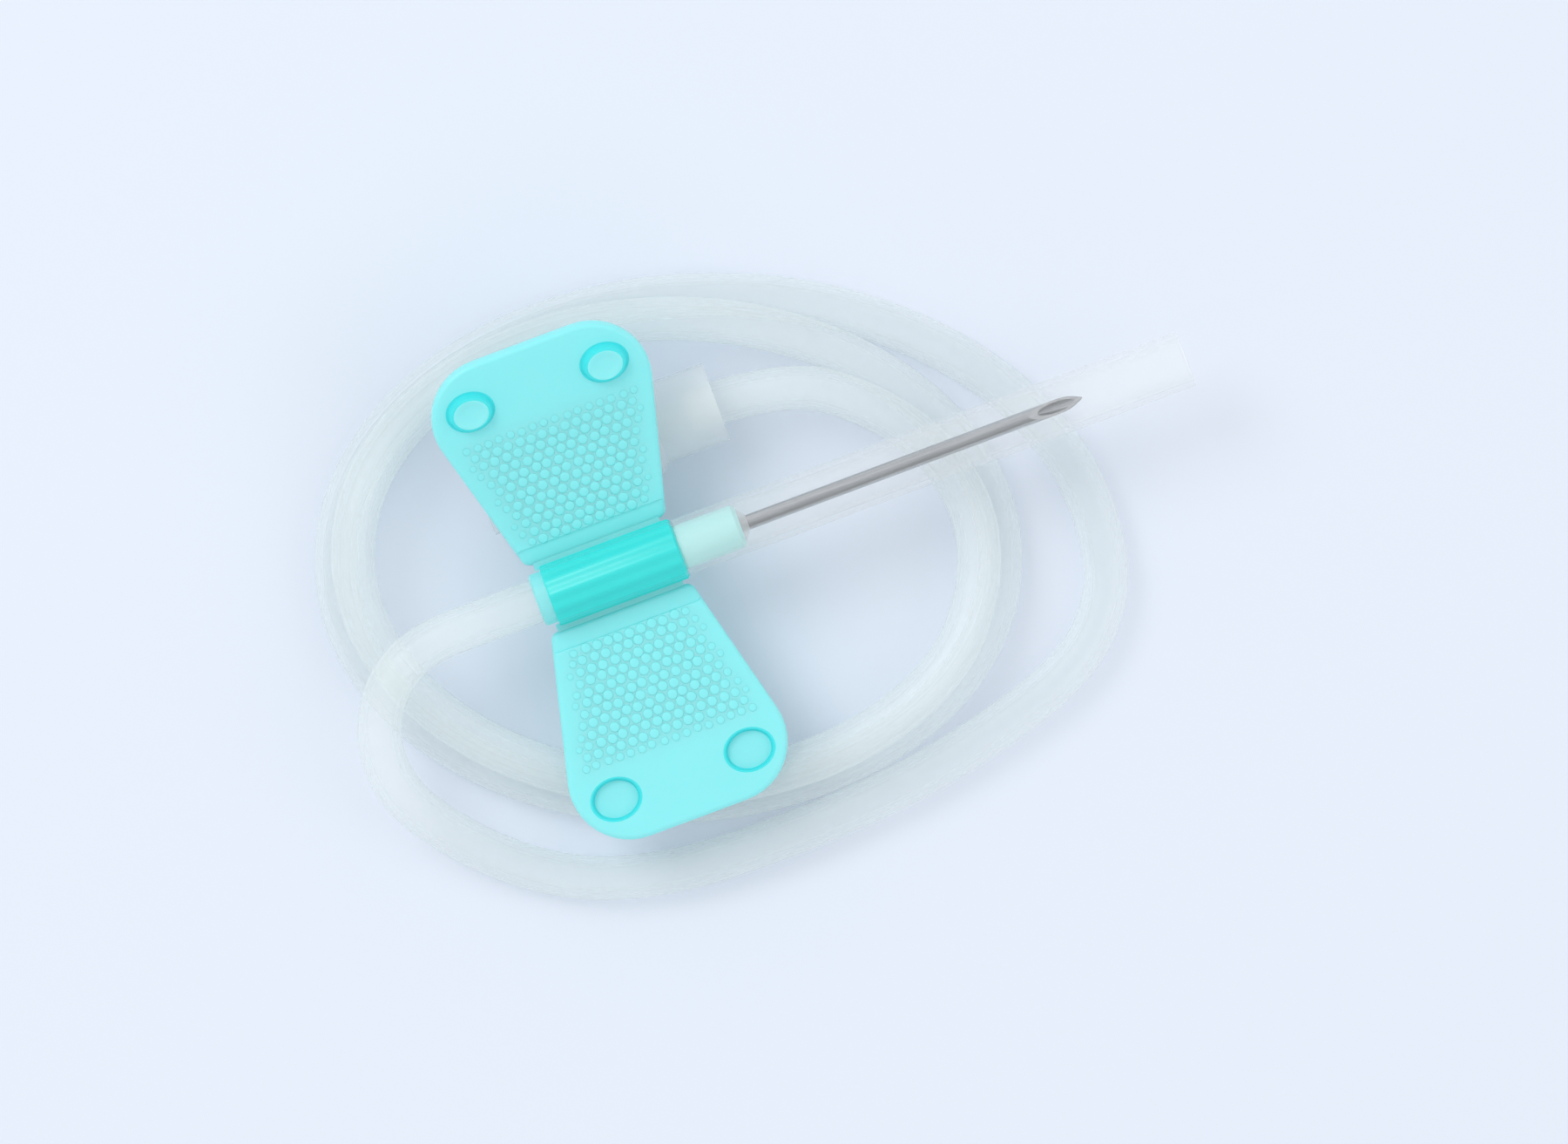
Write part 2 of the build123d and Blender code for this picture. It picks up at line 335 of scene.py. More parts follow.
def finish(name):
    """Material of that name, made the first time it is asked for."""
    if name in bpy.data.materials:
        return bpy.data.materials[name]
    colours = finishes()
    soft = {"IOR": 1.48, "Subsurface_Radius": (0.0004, 0.0014, 0.0014), "Subsurface_Scale": 1.0}
    if name == "wing_turquoise":
        return plastic(name, colours.wing, 0.38, relief=0.1, shade=0.95, Subsurface_Weight=0.35, **soft)
    if name == "pip_turquoise":
        return plastic(name, colours.pip, 0.34, relief=0.1, shade=0.95, Subsurface_Weight=0.35, **soft)
    if name == "pebble_turquoise":
        return plastic(name, colours.pebble, 0.36, shade=0.95, IOR=1.48)
    if name == "barrel_turquoise":
        return plastic(name, colours.barrel, 0.3, relief=0.02, shade=0.92, Subsurface_Weight=0.25, **soft)
    if name == "hub_turquoise":
        return plastic(name, colours.hub, 0.25, shade=0.96, Subsurface_Weight=0.3, **soft)
    if name == "needle_steel":
        return drawn_steel(name, colours.steel)
    if name == "clear_sheath":
        return clear_plastic(name, colours.clear, 0.08, 0.11, 0.55)
    if name == "clear_rigid":
        return clear_plastic(name, colours.clear, 0.1, 0.05, 0.4)
    if name == "clear_adhesive":
        return clear_plastic(name, colours.clear, 0.12, 0.35, 0.8)
    if name == "milky_tube":
        return clear_plastic(name, colours.tube, 0.22, 0.22, 0.6)
    if name == "tube_bore":
        return clear_plastic(name, colours.tube, 0.22, 0.03, 0.3)
    raise ValueError(f"no finish called {name}")


def link_object(name, data):
    piece = bpy.data.objects.new(name, data)
    bpy.context.scene.collection.objects.link(piece)
    return piece


def mesh_from(name, shape):
    """Plain mesh from a bmesh, with outward faces and its hard edges marked."""
    bmesh.ops.recalc_face_normals(shape, faces=shape.faces)
    mesh = bpy.data.meshes.new(name)
    shape.to_mesh(mesh)
    shape.free()
    mesh.shade_smooth()
    mesh.set_sharp_from_angle(angle=SMOOTH_ANGLE)
    return mesh


def add_piece(name, mesh, materials, body, slot, *nodes):
    """Piece that rides on a body and stands for the named nodes; the slot argument is not used."""
    if mesh.materials:
        mesh.materials.clear()
    for material in materials.split():
        mesh.materials.append(finish(material))
    piece = link_object(name, mesh)
    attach(piece, body)
    if nodes:
        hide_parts(*nodes)
    return piece


def dress_node(node, material):
    """Gives a CAD node that keeps its shape its finish."""
    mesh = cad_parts[node].data
    mesh.materials.clear()
    mesh.materials.append(finish(material))


def ring_bridge(shape, first, second, tone=0):
    """Faces between two rings of as many vertices, in the piece's finish of that number."""
    count = len(first)
    for index in range(count):
        onward = (index + 1) % count
        face = shape.faces.new((first[index], first[onward], second[onward], second[index]))
        face.material_index = tone


def ring_edges(shape, ring):
    return [shape.edges.get((ring[index - 1], ring[index])) for index in range(len(ring))]


def coil_point(angle, settings):
    """Control point of the coil's tube at an angle in degrees, counted on through its turns."""
    turn = (angle - 360.0) / 360.0
    index = 0
    while index < len(COIL_KEYS) - 2 and turn > COIL_KEYS[index + 1][0]:
        index += 1
    before, after = COIL_KEYS[index], COIL_KEYS[index + 1]
    share = (turn - before[0]) / (after[0] - before[0])
    blended = [low + (high - low) * share for low, high in zip(before[1:], after[1:])]
    half_long, half_wide, mid_x, mid_y = blended
    along = half_long * math.cos(math.radians(angle))
    across = half_wide * math.sin(math.radians(angle))
    tilt = settings.coil_tilt
    x = mid_x + along * math.cos(tilt) - across * math.sin(tilt)
    y = mid_y + along * math.sin(tilt) + across * math.cos(tilt)
    climb = min(max((angle - CLIMB_START) / CLIMB_ANGLE, 0.0), 1.0)
    climb = climb * climb * (3 - 2 * climb)
    z = settings.floor_level + (settings.upper_level - settings.floor_level) * climb
    return (x * MM, y * MM, z)


def tube_route(settings):
    """Control points from the grip, round the coil and into the connector, in metres."""
    lead = [tuple(part * MM for part in point) for point in LEAD_ROUTE]
    coil = [coil_point(angle, settings) for angle in COIL_ANGLES]
    tail = [tuple(part * MM for part in point) for point in TAIL_ROUTE]
    return lead + coil + tail


def smooth_line(route):
    """Points along the smooth curve that the route's points control."""
    curve = bpy.data.curves.new("tube_line", "CURVE")
    curve.dimensions = "3D"
    curve.resolution_u = 10
    spline = curve.splines.new("NURBS")
    spline.points.add(len(route) - 1)
    for point, place in zip(spline.points, route):
        point.co = (*place, 1.0)
    spline.order_u = 3
    spline.use_endpoint_u = True
    holder = link_object("tube_line", curve)
    graph = bpy.context.evaluated_depsgraph_get()
    line = bpy.data.meshes.new_from_object(holder.evaluated_get(graph))
    points = [vertex.co.copy() for vertex in line.vertices]
    bpy.data.objects.remove(holder)
    bpy.data.meshes.remove(line)
    bpy.data.curves.remove(curve)
    return points


def hollow_tube(name, points, radius, bore_radius, sides):
    """Tube with a bore along a line of points, its section carried along without twist."""
    shape = bmesh.new()
    side = Vector((0, 0, 1))
    walls = []
    for index, point in enumerate(points):
        ahead = points[min(index + 1, len(points) - 1)]
        behind = points[max(index - 1, 0)]
        heading = (ahead - behind).normalized()
        side = (side - heading * side.dot(heading)).normalized()
        other = heading.cross(side)
        rings = []
        for reach in (radius, bore_radius):
            ring = []
            for step in range(sides):
                turn = 2 * math.pi * step / sides
                ring.append(shape.verts.new(point + (side * math.cos(turn) + other * math.sin(turn)) * reach))
            rings.append(ring)
        walls.append(rings)
    for near, far in zip(walls, walls[1:]):
        ring_bridge(shape, near[0], far[0])
        ring_bridge(shape, near[1], far[1], 1)
    for rings in (walls[0], walls[-1]):
        ring_bridge(shape, rings[0], rings[1])
    return mesh_from(name, shape)


class INFUSION_OT_tube(bpy.types.Operator):
    """Makes the flexible tube, from the grip round its coil to the connector"""

    bl_idname = "infusion.tube"
    bl_label = "Flexible tube"

    def execute(self, context):
        settings = context.scene.infusion_tube
        points = smooth_line(tube_route(settings))
        radius = settings.outer_diameter / 2
        mesh = hollow_tube("flexible_tube", points, radius, settings.bore / 2, settings.sides)
        piece = add_piece("flexible_tube", mesh, "milky_tube tube_bore", "set", "clear_tube",
                          "tubing_lead", "tubing_coil", "tubing_tail")
        return {"FINISHED"}


def rounded_loop(corners, radii, steps=8):
    """Closed outline with its corners rounded."""
    points = []
    count = len(corners)
    for index, (corner, radius) in enumerate(zip(corners, radii)):
        corner = Vector(corner)
        to_before = (Vector(corners[index - 1]) - corner).normalized()
        to_after = (Vector(corners[(index + 1) % count]) - corner).normalized()
        half = to_before.angle(to_after) / 2
        middle = corner + (to_before + to_after).normalized() * (radius / math.sin(half))
        start = corner + to_before * (radius / math.tan(half)) - middle
        end = corner + to_after * (radius / math.tan(half)) - middle
        for step in range(steps + 1):
            points.append(middle + start.slerp(end, step / steps).normalized() * radius)
    return points


def inset_loop(loop, distance):
    """Outline moved inwards, for an outline that runs counter-clockwise."""
    count = len(loop)
    moved = []
    for index, point in enumerate(loop):
        along = loop[(index + 1) % count] - loop[index - 1]
        inward = Vector((-along.y, along.x)).normalized()
        moved.append(point + inward * distance)
    return moved


def split_runs(loop, longest):
    """Outline with its long straight runs divided evenly."""
    points = []
    for index, point in enumerate(loop):
        following = loop[(index + 1) % len(loop)]
        parts = max(1, math.ceil((following - point).length / longest))
        points.extend(point.lerp(following, part / parts) for part in range(parts))
    return points


def ellipse(middle, long, wide, factor, count=32):
    return [
        Vector((middle[0] + long / 2 * factor * math.cos(2 * math.pi * step / count),
                middle[1] + wide / 2 * factor * math.sin(2 * math.pi * step / count)))
        for step in range(count)
    ]


def cut_across(loop, heights):
    """Outline with points added where it crosses the given heights."""
    points = []
    for index, point in enumerate(loop):
        following = loop[(index + 1) % len(loop)]
        points.append(point)
        rise = following.y - point.y
        shares = [(height - point.y) / rise for height in heights if rise]
        points.extend(point.lerp(following, share) for share in sorted(shares) if 0.001 < share < 0.999)
    return points


def cross_line(shape, first, last, parts=16):
    """Vertices from first to last, with new ones evenly between them."""
    between = [shape.verts.new(first.co.lerp(last.co, step / parts)) for step in range(1, parts)]
    return [first, *between, last]


def run_edges(shape, run):
    return [shape.edges.get(pair) for pair in zip(run, run[1:])]


def wing_shape(name, pip_levels):
    """Flat wing with its hinge line on X, reaching out along +Y, with pips or sockets of the given steps."""
    sizes = grip()
    half = sizes.wing_thickness / 2
    edge = sizes.wing_edge
    line = sizes.strip_width
    root_y = -WING_OVERLAP * MM
    root_corner = WING_ROOT_CORNER * MM
    corners = [(-sizes.wing_root, root_y), (sizes.wing_root, root_y),
               (sizes.wing_end, sizes.wing_length), (-sizes.wing_end, sizes.wing_length)]
    loop = rounded_loop(corners, [root_corner, root_corner, sizes.wing_corner, sizes.wing_corner], 12)
    loop = cut_across(split_runs(loop, 0.6 * MM), (line - STRIP_SLOPE * MM, line))
    thin = [point.y < line - 0.01 * MM for point in loop]
    flat = edge + EDGE_MARGIN * MM
    levels = [(flat, -half)]
    arc = [math.pi / 2 * step / 5 for step in range(6)]
    levels += [(edge * (1 - math.sin(turn)), -half + edge * (1 - math.cos(turn))) for turn in arc]
    levels += [(edge * (1 - math.cos(turn)), half - edge * (1 - math.sin(turn))) for turn in arc]
    levels += [(flat, half)]
    shape = bmesh.new()
    rings = []
    for inset, height in levels:
        drop = sizes.strip_drop if height > 0 else 0.0
        rings.append([
            shape.verts.new((point.x, point.y, height - drop * low))
            for point, low in zip(inset_loop(loop, inset), thin)
        ])
    for below, above in zip(rings, rings[1:]):
        ring_bridge(shape, below, above)
    shape.faces.new(rings[0])
    top = rings[-1]
    first = thin.index(False)
    last = len(thin) - thin[::-1].index(False)
    main_run = top[first:last]
    strip_run = top[last:] + top[:first]
    main_line = cross_line(shape, main_run[-1], main_run[0])
    strip_line = cross_line(shape, strip_run[0], strip_run[-1])
    for index in range(len(main_line) - 1):
        shape.faces.new((main_line[index], main_line[index + 1], strip_line[index + 1], strip_line[index]))
    strip_rim = run_edges(shape, strip_run) + run_edges(shape, strip_line)
    bmesh.ops.triangle_fill(shape, edges=strip_rim, use_beauty=True, use_dissolve=False)
    rim = run_edges(shape, main_run) + run_edges(shape, main_line)
    for side in (-1, 1):
        middle = (side * sizes.pip_side, sizes.pip_reach)
        pip_rings = []
        for factor, height in pip_levels:
            oval = ellipse(middle, sizes.pip_long, sizes.pip_wide, factor)
            pip_rings.append([shape.verts.new((point.x, point.y, half + height * MM)) for point in oval])
        for below, above, level in zip(pip_rings, pip_rings[1:], pip_levels[1:]):
            ring_bridge(shape, below, above, 1 if level[0] > PIP_OUTLINE else 0)
        shape.faces.new(pip_rings[-1])
        rim += ring_edges(shape, pip_rings[0])
    bmesh.ops.triangle_fill(shape, edges=rim, use_beauty=True, use_dissolve=False)
    return mesh_from(name, shape)


def pebble_tree():
    """Geometry nodes that set low pebbles in staggered rows over a wing's middle."""
    tree = bpy.data.node_groups.new("wing_pebbles", "GeometryNodeTree")
    sides = tree.interface
    sockets = {}
    for name, default in PEBBLE_SOCKETS.items():
        socket = sides.new_socket(name=name, in_out="INPUT", socket_type="NodeSocketFloat")
        socket.default_value = default
        sockets[name] = socket.identifier
    socket = sides.new_socket(name="Finish", in_out="INPUT", socket_type="NodeSocketMaterial")
    sockets["Finish"] = socket.identifier
    sides.new_socket(name="Geometry", in_out="OUTPUT", socket_type="NodeSocketGeometry")
    entry = tree.nodes.new("NodeGroupInput").outputs
    links = tree.links

    def math_node(operation, *values):
        node = add_node(tree, "ShaderNodeMath", operation=operation)
        for socket, value in zip(node.inputs, values):
            if isinstance(value, (int, float)):
                socket.default_value = value
            else:
                links.new(value, socket)
        return node.outputs[0]

    row_gap = math_node("MULTIPLY", entry["Spacing"], 0.866)
    rows = math_node("CEIL", math_node("DIVIDE", entry["Depth"], row_gap))
    grid = add_node(tree, "GeometryNodeMeshGrid")
    grid.inputs["Vertices X"].default_value = PEBBLE_COLUMNS
    links.new(math_node("MULTIPLY", entry["Spacing"], PEBBLE_COLUMNS - 1), grid.inputs["Size X"])
    links.new(rows, grid.inputs["Vertices Y"])
    links.new(math_node("MULTIPLY", row_gap, math_node("SUBTRACT", rows, 1)), grid.inputs["Size Y"])

    index = tree.nodes.new("GeometryNodeInputIndex").outputs[0]
    row = math_node("FLOORED_MODULO", index, rows)
    half_gap = math_node("MULTIPLY", entry["Spacing"], 0.5)
    stagger = math_node("MULTIPLY", math_node("FLOORED_MODULO", row, 2), half_gap)
    jitter = add_node(tree, "FunctionNodeRandomValue", data_type="FLOAT_VECTOR", Seed=7)
    jitter.inputs[0].default_value = (-PEBBLE_JITTER, -PEBBLE_JITTER, 0)
    jitter.inputs[1].default_value = (PEBBLE_JITTER, PEBBLE_JITTER, 0)
    half_depth = math_node("MULTIPLY", math_node("MULTIPLY", row_gap, math_node("SUBTRACT", rows, 1)), 0.5)
    offset = add_node(tree, "ShaderNodeCombineXYZ")
    links.new(stagger, offset.inputs["X"])
    links.new(math_node("ADD", half_depth, entry["Start"]), offset.inputs["Y"])
    links.new(entry["Level"], offset.inputs["Z"])
    shift = add_node(tree, "ShaderNodeVectorMath", operation="ADD")
    links.new(offset.outputs[0], shift.inputs[0])
    links.new(jitter.outputs[0], shift.inputs[1])
    placed = add_node(tree, "GeometryNodeSetPosition")
    links.new(grid.outputs["Mesh"], placed.inputs["Geometry"])
    links.new(shift.outputs[0], placed.inputs["Offset"])

    where = add_node(tree, "ShaderNodeSeparateXYZ")
    links.new(tree.nodes.new("GeometryNodeInputPosition").outputs[0], where.inputs[0])
    flare = math_node("MULTIPLY", where.outputs["Y"], entry["Flare"])
    reach = math_node("ADD", entry["Root Half Width"], flare)
    inside = math_node("SUBTRACT", reach, math_node("ABSOLUTE", where.outputs["X"]))
    outside = math_node("LESS_THAN", inside, math_node("MULTIPLY", entry["Fade"], 0.3))
    left_over = math_node("SUBTRACT", math_node("ADD", entry["Start"], entry["Depth"]), where.outputs["Y"])
    to_end = math_node("ADD", left_over, 0.0003)
    fading = math_node("DIVIDE", math_node("MINIMUM", inside, to_end), entry["Fade"])
    strength = math_node("MINIMUM", math_node("MAXIMUM", fading, 0.3), 1.0)
    kept = add_node(tree, "GeometryNodeDeleteGeometry", domain="POINT")
    links.new(placed.outputs[0], kept.inputs["Geometry"])
    links.new(outside, kept.inputs["Selection"])

    dome = add_node(tree, "GeometryNodeMeshUVSphere", Segments=10, Rings=6, Radius=1.0)
    size = add_node(tree, "ShaderNodeCombineXYZ")
    width = math_node("MULTIPLY", entry["Radius"], math_node("POWER", strength, 0.4))
    links.new(width, size.inputs["X"])
    links.new(width, size.inputs["Y"])
    links.new(math_node("MULTIPLY", entry["Height"], strength), size.inputs["Z"])
    scatter = add_node(tree, "GeometryNodeInstanceOnPoints")
    links.new(kept.outputs[0], scatter.inputs["Points"])
    links.new(dome.outputs["Mesh"], scatter.inputs["Instance"])
    links.new(size.outputs[0], scatter.inputs["Scale"])
    real = tree.nodes.new("GeometryNodeRealizeInstances")
    links.new(scatter.outputs[0], real.inputs[0])
    smooth = tree.nodes.new("GeometryNodeSetShadeSmooth")
    links.new(real.outputs[0], smooth.inputs["Geometry"])
    coat = tree.nodes.new("GeometryNodeSetMaterial")
    links.new(smooth.outputs[0], coat.inputs["Geometry"])
    links.new(entry["Finish"], coat.inputs["Material"])
    links.new(coat.outputs[0], tree.nodes.new("NodeGroupOutput").inputs[0])
    return tree, sockets


def pebble_mesh(name):
    """Plain mesh of the pebbles on a flat wing."""
    sizes = grip()
    tree, sockets = pebble_tree()
    holder = link_object(name, bpy.data.meshes.new(name))
    modifier = holder.modifiers.new("pebbles", "NODES")
    modifier.node_group = tree
    values = {"Spacing": sizes.pebble_spacing, "Radius": sizes.pebble_radius, "Height": sizes.pebble_height,
              "Level": sizes.wing_thickness / 2, "Finish": finish("pebble_turquoise")}
    for key, value in values.items():
        modifier[sockets[key]] = value
    graph = bpy.context.evaluated_depsgraph_get()
    mesh = bpy.data.meshes.new_from_object(holder.evaluated_get(graph))
    mesh.name = name
    bpy.data.objects.remove(holder)
    bpy.data.node_groups.remove(tree)
    return mesh


def wing_place(side):
    """Turn and place of a wing: side 1 is the raised left wing, -1 the flat right one."""
    hinge = Matrix.Translation((SLEEVE_MID_X * MM, side * HINGE_Y * MM, HINGE_Z * MM))
    if side > 0:
        return hinge @ Matrix.Rotation(LEFT_WING_TILT, 4, "X")
    return hinge @ Matrix.Rotation(math.pi, 4, "Z")


def hinge_web(name, side):
    """Thin skin that joins the foot to a wing across the hinge."""
    tilt = LEFT_WING_TILT if side > 0 else 0.0
    along_wing = Vector((math.cos(tilt), math.sin(tilt)))
    inner = Vector((-HINGE_REACH, 0.0))
    outer = along_wing * HINGE_REACH
    steps = 12
    lines = {1: [], -1: []}
    for step in range(steps + 1):
        share = step / steps
        middle = inner * (1 - share) ** 2 + outer * share ** 2
        slope = (outer * share - inner * (1 - share)).normalized()
        for face in (1, -1):
            lines[face].append(middle + Vector((-slope.y, slope.x)) * HINGE_HALF_THICKNESS * face)
    section = lines[1] + lines[-1][::-1]
    shape = bmesh.new()
    rings = []
    count = 25
    for step in range(count):
        x = SLEEVE_MID_X + HINGE_HALF_LENGTH * (2 * step / (count - 1) - 1)
        rings.append([
            shape.verts.new((x * MM, side * (HINGE_Y + point.x) * MM, (HINGE_Z + point.y) * MM))
            for point in section
        ])
    for near, far in zip(rings, rings[1:]):
        ring_bridge(shape, near, far)
    shape.faces.new(rings[0])
    shape.faces.new(rings[-1])
    mesh = mesh_from(name, shape)
    mesh.materials.append(finish("wing_turquoise"))
    piece = link_object(name, mesh)
    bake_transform(piece)


class INFUSION_OT_wings(bpy.types.Operator):
    """Makes both wings, their pebbled middles, pips and sockets, and the thin hinges"""

    bl_idname = "infusion.wings"
    bl_label = "Wings"

    def execute(self, context):
        for side, word, levels in ((1, "left", PIP_STEPS), (-1, "right", SOCKET_STEPS)):
            body = f"{word}_wing"
            plate = wing_shape(f"wing_{word}_plate", levels)
            plate.transform(wing_place(side))
            add_piece(f"wing_{word}_plate", plate, "wing_turquoise pip_turquoise", body, "soft_turquoise",
                      f"wing_{word}")
            pebbles = pebble_mesh(f"wing_{word}_pebbles")
            pebbles.transform(wing_place(side))
            add_piece(f"wing_{word}_pebbles", pebbles, "pebble_turquoise", body, "soft_turquoise")
            hinge_web(f"wing_{word}_hinge", side)
        return {"FINISHED"}


def barrel_section():
    """Barrel's outline, fluted above and with a flat foot below, and each point's turn round the axis."""
    sizes = grip()
    radius = sizes.sleeve_radius
    ledge = sizes.foot_height - radius
    low = math.asin(ledge / radius)
    outline = []
    turns = []
    for step in range(BARREL_STEPS + 1):
        turn = low + (math.pi - 2 * low) * step / BARREL_STEPS
        fade = min(1.0, 4.0 * min(step, BARREL_STEPS - step) / BARREL_STEPS)
        groove = sizes.flute_depth * fade * (0.5 - 0.5 * math.cos(FLUTES * (turn - math.pi / 2)))
        outline.append(Vector((math.cos(turn), math.sin(turn))) * (radius - groove))
        turns.append(turn)
    side = sizes.foot_half
    ease = FOOT_EASE * MM
    left = [(-side + ease, ledge), (-side, ledge - ease), (-side, ease - radius), (ease - side, -radius)]
    bottom = [((side - ease) * (step / 6 - 1), -radius) for step in range(1, 12)]
    right = [(-y, z) for y, z in reversed(left)]
    foot = [Vector(point) for point in left + bottom + right]
    sweep = math.pi + 2 * low
    for step, point in enumerate(foot, 1):
        outline.append(point)
        turns.append(math.pi - low + sweep * step / (len(foot) + 1))
    return outline, turns


def fill_between(shape, first, second, tone=0):
    """Flat face between two rings that need not match, in the piece's finish of that number."""
    edges = ring_edges(shape, first) + ring_edges(shape, second)
    filled = bmesh.ops.triangle_fill(shape, edges=edges, use_beauty=True, use_dissolve=False)
    for part in filled["geom"]:
        if isinstance(part, bmesh.types.BMFace):
            part.material_index = tone


class INFUSION_OT_sleeve(bpy.types.Operator):
    """Makes the fluted barrel that grips the hub and the tube, with its rear rim and flat foot"""

    bl_idname = "infusion.sleeve"
    bl_label = "Barrel"

    def execute(self, context):
        sizes = grip()
        outline, turns = barrel_section()
        ease = BARREL_EASE * MM
        back = SLEEVE_BACK_X * MM
        front = SLEEVE_FRONT_X * MM
        step_x = back + sizes.rim_length
        shape = bmesh.new()

        def ring(x, section):
            return [shape.verts.new((x, point.x, AXIS_Z * MM + point.y)) for point in section]

        def circle(x, radius):
            return ring(x, [Vector((math.cos(turn), math.sin(turn))) * radius for turn in turns])

        rings = [
            circle(back, sizes.sleeve_bore),
            circle(back, sizes.rim_radius - ease),
            circle(back + ease, sizes.rim_radius),
            circle(step_x, sizes.rim_radius),
            ring(step_x, inset_loop(outline, STEP_EASE * MM)),
            ring(step_x + ease, outline),
            ring(front - ease, outline),
            ring(front, inset_loop(outline, ease)),
            circle(front, sizes.sleeve_bore),
        ]
        # Rings that end the step behind the barrel and its front face
        step, face = 4, 8
        for index in range(len(rings)):
            if index not in (step, face):
                ring_bridge(shape, rings[index - 1], rings[index], 1 if 0 < index < step else 0)
        fill_between(shape, rings[step - 1], rings[step], 1)
        fill_between(shape, rings[face - 1], rings[face])
        mesh = mesh_from("wing_barrel", shape)
        add_piece("wing_barrel", mesh, "barrel_turquoise wing_turquoise", "set", "soft_turquoise",
                  "wing_sleeve")
        return {"FINISHED"}


class INFUSION_OT_needle(bpy.types.Operator):
    """Finishes the hub, the needle, its bond and the clear sheath"""

    bl_idname = "infusion.needle"
    bl_label = "Needle and sheath"

    def execute(self, context):
        dress_node("needle_hub", "hub_turquoise")
        dress_node("cannula", "needle_steel")
        dress_node("cannula_bond", "clear_adhesive")
        dress_node("needle_sheath", "clear_sheath")
        return {"FINISHED"}


class INFUSION_OT_connector(bpy.types.Operator):
    """Finishes the luer connector and its plug"""

    bl_idname = "infusion.connector"
    bl_label = "Connector and plug"

    def execute(self, context):
        dress_node("luer_connector", "clear_rigid")
        dress_node("luer_cap", "clear_rigid")
        return {"FINISHED"}


def add_lamp(name, place, target, size, power):
    lamp = bpy.data.lights.new(name, "AREA")
    lamp.shape = "DISK"
    lamp.size = size
    lamp.energy = power
    holder = link_object(name, lamp)
    holder.location = place
    holder.rotation_euler = (Vector(target) - Vector(place)).to_track_quat("-Z", "Y").to_euler()


def sky(scene, light):
    """Pale surroundings: plain where seen, softer where they light the set, dimmer at one side in gloss."""
    world = bpy.data.worlds.new("studio")
    scene.world = world
    world.use_nodes = True
    tree = world.node_tree
    seen = tree.nodes["Background"]
    seen.inputs["Color"].default_value = (0.93, 0.95, 1.0, 1)
    seen.inputs["Strength"].default_value = 1.0
    lighting = add_node(tree, "ShaderNodeBackground", Color=(0.96, 0.98, 1.0, 1), Strength=light)
    mirrored = add_node(tree, "ShaderNodeBackground", Color=(0.93, 0.95, 1.0, 1))
    way = tree.nodes.new("ShaderNodeSeparateXYZ")
    tree.links.new(tree.nodes.new("ShaderNodeTexCoord").outputs["Generated"], way.inputs[0])
    side = add_node(tree, "ShaderNodeMapRange")
    side.inputs["From Min"].default_value = -0.9
    side.inputs["From Max"].default_value = 0.6
    side.inputs["To Min"].default_value = 0.22
    tree.links.new(way.outputs["Y"], side.inputs["Value"])
    tree.links.new(side.outputs[0], mirrored.inputs["Strength"])
    path = tree.nodes.new("ShaderNodeLightPath")
    view = add_node(tree, "ShaderNodeMath", operation="MAXIMUM")
    tree.links.new(path.outputs["Is Camera Ray"], view.inputs[0])
    tree.links.new(path.outputs["Is Transmission Ray"], view.inputs[1])
    plain = tree.nodes.new("ShaderNodeMixShader")
    tree.links.new(view.outputs[0], plain.inputs[0])
    tree.links.new(lighting.outputs[0], plain.inputs[1])
    tree.links.new(seen.outputs[0], plain.inputs[2])
    gloss = tree.nodes.new("ShaderNodeMixShader")
    tree.links.new(path.outputs["Is Glossy Ray"], gloss.inputs[0])
    tree.links.new(plain.outputs[0], gloss.inputs[1])
    tree.links.new(mirrored.outputs[0], gloss.inputs[2])
    tree.links.new(gloss.outputs[0], tree.nodes["World Output"].inputs["Surface"])


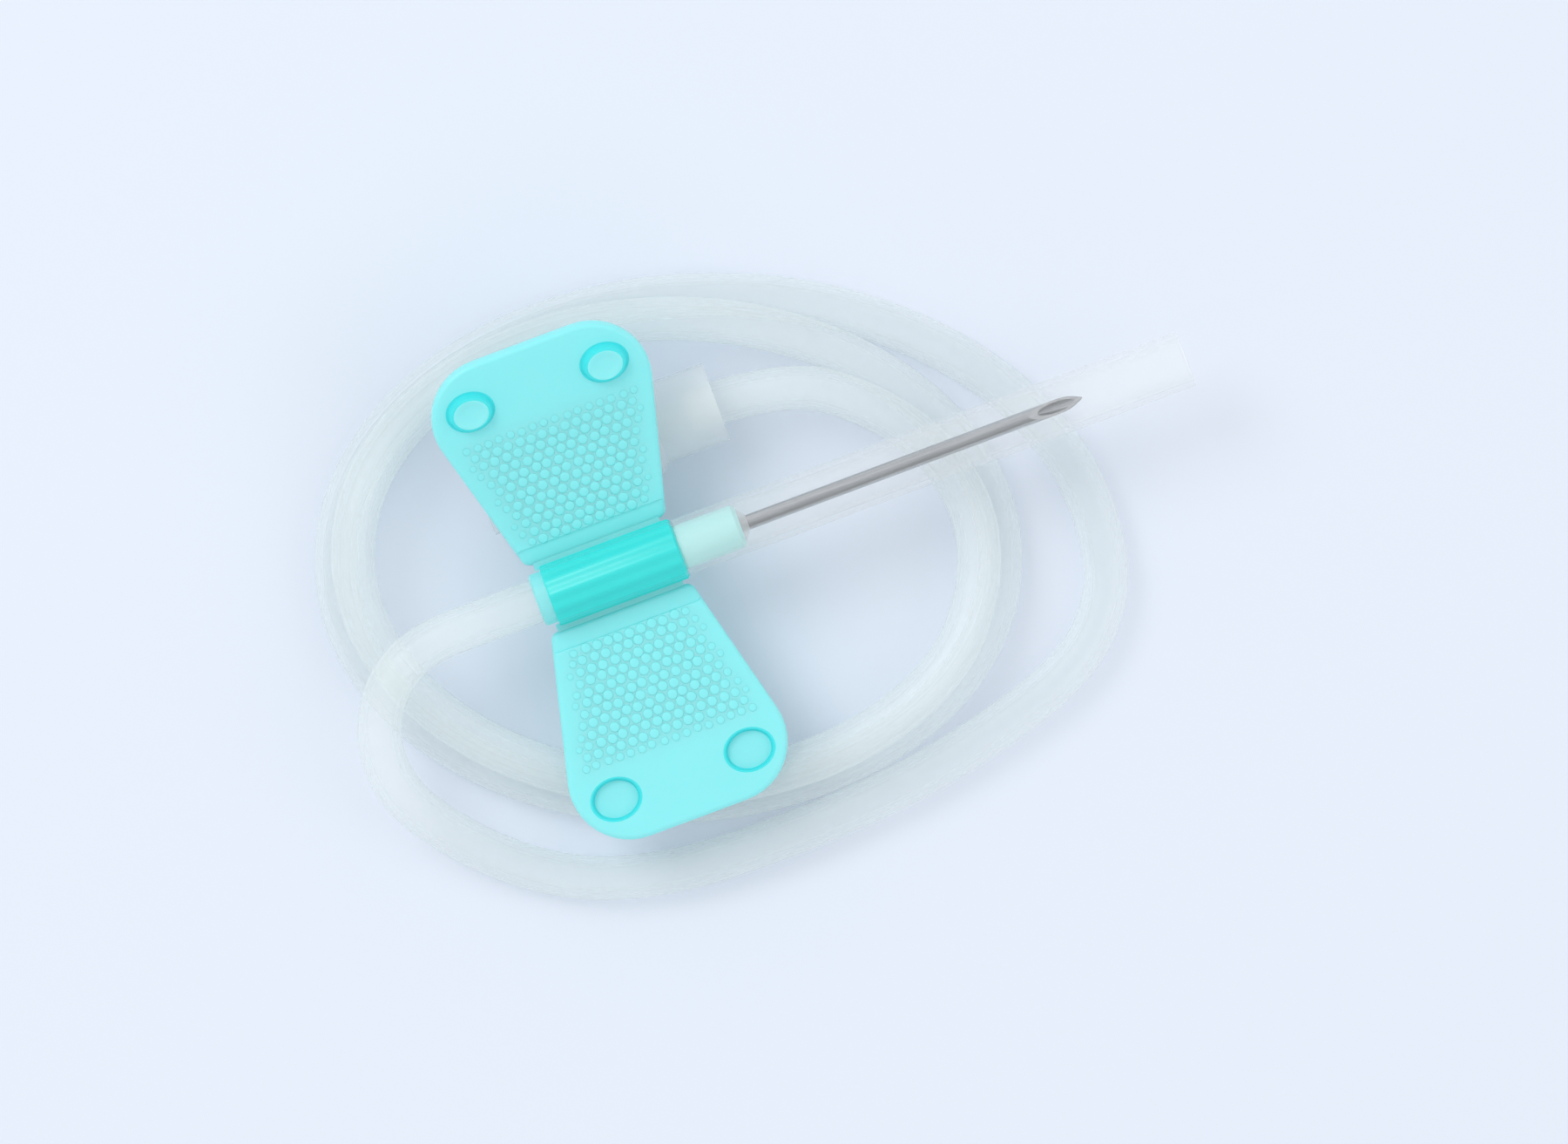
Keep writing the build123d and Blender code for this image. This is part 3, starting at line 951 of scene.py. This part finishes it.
class INFUSION_OT_stage(bpy.types.Operator):
    """Sets up the camera above the set, the pale floor and the soft light"""

    bl_idname = "infusion.stage"
    bl_label = "Stage"

    def execute(self, context):
        scene = context.scene
        scene.view_settings.view_transform = "Standard"
        scene.cycles.transparent_max_bounces = 32
        camera = bpy.data.cameras.new("overhead_camera")
        camera.sensor_width = 36.0
        camera.lens = camera.sensor_width * (CAMERA_HEIGHT - VIEW_LEVEL) / VIEW_WIDTH
        camera.clip_start = 0.01
        camera.clip_end = 10.0
        holder = link_object("overhead_camera", camera)
        holder.location = (*VIEW_MIDDLE, CAMERA_HEIGHT)
        holder.rotation_euler = (0, 0, VIEW_TURN)
        scene.camera = holder
        shape = bmesh.new()
        bmesh.ops.create_grid(shape, x_segments=2, y_segments=2, size=1.5)
        mesh = mesh_from("floor", shape)
        paper = plastic("floor_paper", finishes().floor, 0.8, grain=60.0, mottle=4.0, shade=0.99)
        mesh.materials.append(paper)
        floor = link_object("floor", mesh)
        sky(scene, light=0.78)
        middle = (-0.005, 0, 0)
        add_lamp("key_lamp", (-0.25, 0.35, 0.55), middle, size=0.35, power=1.3)
        add_lamp("fill_lamp", (0.4, -0.2, 0.5), middle, size=0.5, power=0.45)
        return {"FINISHED"}


class INFUSION_PT_panel(bpy.types.Panel):
    """Steps that dress the set, in order"""

    bl_label = "Infusion set"
    bl_idname = "INFUSION_PT_panel"
    bl_space_type = "VIEW_3D"
    bl_region_type = "UI"
    bl_category = "Infusion set"

    def draw(self, context):
        for step in STEPS:
            self.layout.operator(step.bl_idname)
        for name in GROUPS:
            group = getattr(context.scene, name)
            box = self.layout.box()
            for key in group.__annotations__:
                box.prop(group, key)


GROUPS = {
    "infusion_tube": InfusionTubeSettings,
    "infusion_grip": InfusionGripSettings,
    "infusion_finish": InfusionFinishSettings,
}
STEPS = (
    INFUSION_OT_stage,
    INFUSION_OT_tube,
    INFUSION_OT_wings,
    INFUSION_OT_sleeve,
    INFUSION_OT_needle,
    INFUSION_OT_connector,
)


def register():
    for name, group in GROUPS.items():
        bpy.utils.register_class(group)
        setattr(bpy.types.Scene, name, PointerProperty(type=group))
    for step in STEPS:
        bpy.utils.register_class(step)
    bpy.utils.register_class(INFUSION_PT_panel)


def unregister():
    bpy.utils.unregister_class(INFUSION_PT_panel)
    for step in reversed(STEPS):
        bpy.utils.unregister_class(step)
    for name, group in GROUPS.items():
        delattr(bpy.types.Scene, name)
        bpy.utils.unregister_class(group)


def main():
    register()
    bpy.ops.infusion.stage()
    bpy.ops.infusion.tube()
    bpy.ops.infusion.wings()
    bpy.ops.infusion.sleeve()
    bpy.ops.infusion.needle()
    bpy.ops.infusion.connector()


if __name__ == "__main__":
    main()
